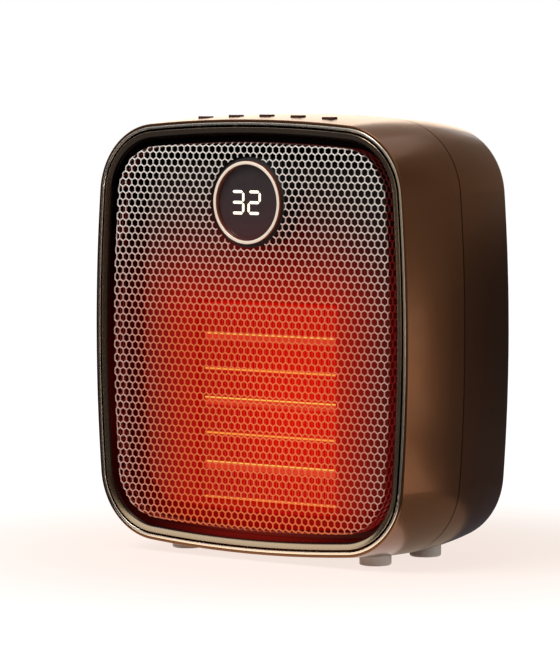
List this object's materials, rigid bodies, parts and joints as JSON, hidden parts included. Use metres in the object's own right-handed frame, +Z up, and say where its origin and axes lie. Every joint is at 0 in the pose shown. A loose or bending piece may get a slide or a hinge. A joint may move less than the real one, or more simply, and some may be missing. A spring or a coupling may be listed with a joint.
{
  "type": "ceramic fan heater",
  "caption": "Compact rounded-square ceramic heater: perforated front with a round display, dark bezel, bright trim, top keys, fan behind a glowing core.",
  "frame": {"origin": "on the floor under the middle of the case", "axes": "+X to the viewer's right, +Y into the depth (the front faces -Y), +Z up"},
  "size_m": [0.1758, 0.084, 0.1954],
  "materials": {
    "case_lacquer": "brown metallic lacquer on moulded ABS, satin",
    "trim_metal": "bright electroplated trim",
    "bezel_black": "dark moulded bezel, semi-gloss",
    "grille_metal": "perforated sheet, silver lacquered",
    "rose_metal": "polished rose-gold plated ring",
    "smoked_window": "smoked display window",
    "lit_digit": "lit display bars",
    "key_plastic": "dark moulded keys",
    "black_nylon": "black glass-filled nylon",
    "baffle_black": "black heat-proof resin",
    "board_green": "green circuit board",
    "display_white": "white display block",
    "mica_white": "insulating channel",
    "heater_aluminium": "bare aluminium fins and plates",
    "tube_aluminium": "bare aluminium tubes",
    "barium_titanate": "sintered grey ceramic stones",
    "plated_brass": "brass terminals and bushes",
    "copper_wire": "enamelled copper winding",
    "motor_steel": "steel of shaft, yoke and core",
    "ferrite": "sintered ferrite",
    "screw_steel": "zinc-plated steel screws",
    "relay_blue": "blue relay case",
    "capacitor_yellow": "yellow film capacitor",
    "transformer_tape": "yellow tape over ferrite",
    "can_sleeve": "sleeved aluminium can",
    "terminal_plastic": "green terminal block",
    "foot_rubber": "black rubber",
    "lead_silicone": "red silicone insulation",
    "spring_steel": "spring wire"
  },
  "bodies": {
    "case": {"bezel": "bezel_black", "board_screws": "screw_steel", "can_capacitors": "can_sleeve", "case_screws": "screw_steel", "ceramic_stones": "barium_titanate", "control_board": "board_green", "cord_gland": "black_nylon", "core_baffle": "baffle_black", "core_holders": "mica_white", "display_board": "board_green", "display_digits": "lit_digit", "display_housing": "black_nylon", "display_lens": "smoked_window", "display_module": "display_white", "display_ring": "rose_metal", "fan_bearings": "plated_brass", "fan_duct": "baffle_black", "fan_frame": "black_nylon", "fan_screws": "screw_steel", "feet": "foot_rubber", "film_capacitor": "capacitor_yellow", "fin_rows": "heater_aluminium", "front_grille": "grille_metal", "front_screws": "screw_steel", "front_shell": "case_lacquer", "fuse_clip": "spring_steel", "gland_nut": "black_nylon", "heater_leads": "lead_silicone", "heating_tubes": "tube_aluminium", "intake_panel": "black_nylon", "key_switches": "black_nylon", "motor_coils": "copper_wire", "motor_stator": "motor_steel", "power_board": "board_green", "rear_shell": "case_lacquer", "relays": "relay_blue", "spacer_plates": "heater_aluminium", "terminal_block": "terminal_plastic", "terminal_tabs": "plated_brass", "thermal_fuse": "can_sleeve", "thermostat": "motor_steel", "tip_spring": "spring_steel", "tip_switch": "black_nylon", "transformer": "transformer_tape", "trim_ring": "trim_metal"},
    "fan_rotor": {"fan_rotor": "black_nylon", "rotor_shaft": "motor_steel", "rotor_yoke": "motor_steel", "rotor_magnet": "ferrite"},
    "tip_plunger": {"tip_plunger": "black_nylon"},
    "timer_key": {"timer_key": "key_plastic", "timer_plunger": "black_nylon"},
    "cooler_key": {"cooler_key": "key_plastic", "cooler_plunger": "black_nylon"},
    "power_key": {"power_key": "key_plastic", "power_plunger": "black_nylon"},
    "warmer_key": {"warmer_key": "key_plastic", "warmer_plunger": "black_nylon"},
    "mode_key": {"mode_key": "key_plastic", "mode_plunger": "black_nylon"}
  },
  "joints": [
    {"name": "fan_spin", "type": "hinge", "parent": "case", "child": "fan_rotor", "pos_m": [0, 0.01013, 0.0679], "axis": [0, 1, 0], "continuous": true},
    {"name": "timer_press", "type": "slide", "parent": "case", "child": "timer_key", "axis": [0, 0, -1], "range_m": [0, 0.0006], "stiffness_N_per_m": 1000, "springref_m": -0.0002},
    {"name": "cooler_press", "type": "slide", "parent": "case", "child": "cooler_key", "axis": [0, 0, -1], "range_m": [0, 0.0006], "stiffness_N_per_m": 1000, "springref_m": -0.0002},
    {"name": "power_press", "type": "slide", "parent": "case", "child": "power_key", "axis": [0, 0, -1], "range_m": [0, 0.0006], "stiffness_N_per_m": 1000, "springref_m": -0.0002},
    {"name": "warmer_press", "type": "slide", "parent": "case", "child": "warmer_key", "axis": [0, 0, -1], "range_m": [0, 0.0006], "stiffness_N_per_m": 1000, "springref_m": -0.0002},
    {"name": "mode_press", "type": "slide", "parent": "case", "child": "mode_key", "axis": [0, 0, -1], "range_m": [0, 0.0006], "stiffness_N_per_m": 1000, "springref_m": -0.0002},
    {"name": "tip_drop", "type": "slide", "parent": "case", "child": "tip_plunger", "axis": [0, 0, -1], "range_m": [0, 0.003], "stiffness_N_per_m": 60, "springref_m": 0.006, "deforming": ["tip_spring"]}
  ]
}
